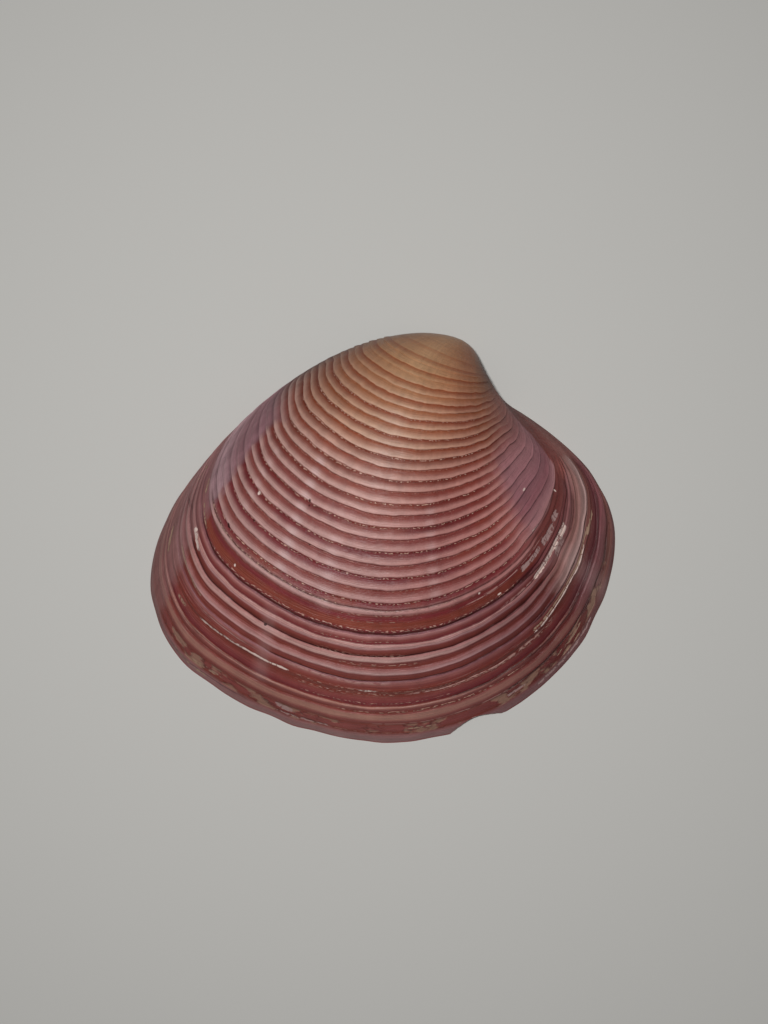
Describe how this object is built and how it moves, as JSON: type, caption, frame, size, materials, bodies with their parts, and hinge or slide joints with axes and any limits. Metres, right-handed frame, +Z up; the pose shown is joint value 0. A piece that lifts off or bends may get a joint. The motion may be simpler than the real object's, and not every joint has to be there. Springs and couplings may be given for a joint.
{
  "type": "venus clam shell valve",
  "caption": "Single right valve of a venus clam, domed, with concentric ribs outside and a hollow with a hinge plate inside, resting on its margin.",
  "frame": {"origin": "under the middle of the valve's bounding box, in the plane of its margin", "axes": "+X towards the valve's front end, along its length; +Y towards the beak and hinge; +Z up, out of the domed outside"},
  "size_m": [0.0602, 0.0526, 0.0146],
  "materials": {
    "shell": "satin"
  },
  "bodies": {
    "root": {"right_valve": "shell"}
  },
  "joints": []
}
